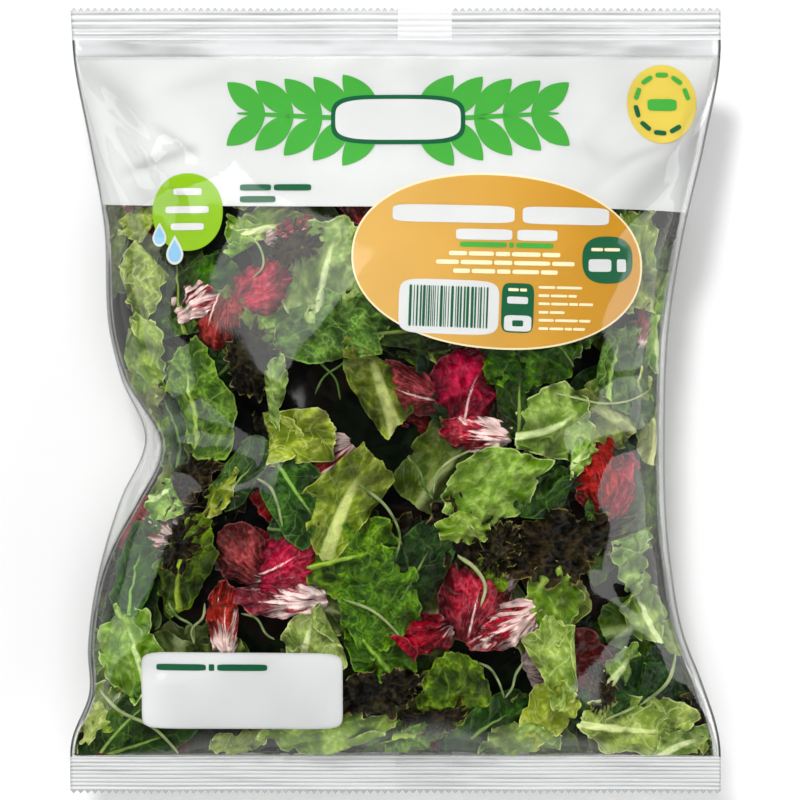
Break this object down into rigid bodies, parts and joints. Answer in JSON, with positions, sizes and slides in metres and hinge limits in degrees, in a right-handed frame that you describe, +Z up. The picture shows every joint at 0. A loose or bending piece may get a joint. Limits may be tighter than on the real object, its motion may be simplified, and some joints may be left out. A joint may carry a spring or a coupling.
{
  "type": "bag of salad leaves",
  "caption": "Sealed clear pillow bag of mixed salad leaves lying face up, with crimped toothed seals at both ends and a printed white band across its upper front.",
  "frame": {"origin": "under the middle of the bag, on the surface it lies on", "axes": "+X across the bag, +Y along the bag towards its top seal, +Z up out of the printed front"},
  "size_m": [0.24, 0.29, 0.0651],
  "materials": {
    "clear_film": "glossy clear film, seen here over the green and red leaves that fill it",
    "printed_film": "opaque white print under the film, with plain green, yellow and orange fields",
    "green_leaf": "fresh crisp leaf, satin, from pale yellow-green to deep green",
    "red_leaf": "fresh crisp red leaf with white ribs, satin"
  },
  "bodies": {
    "root": {"bag": "clear_film"}
  },
  "joints": []
}
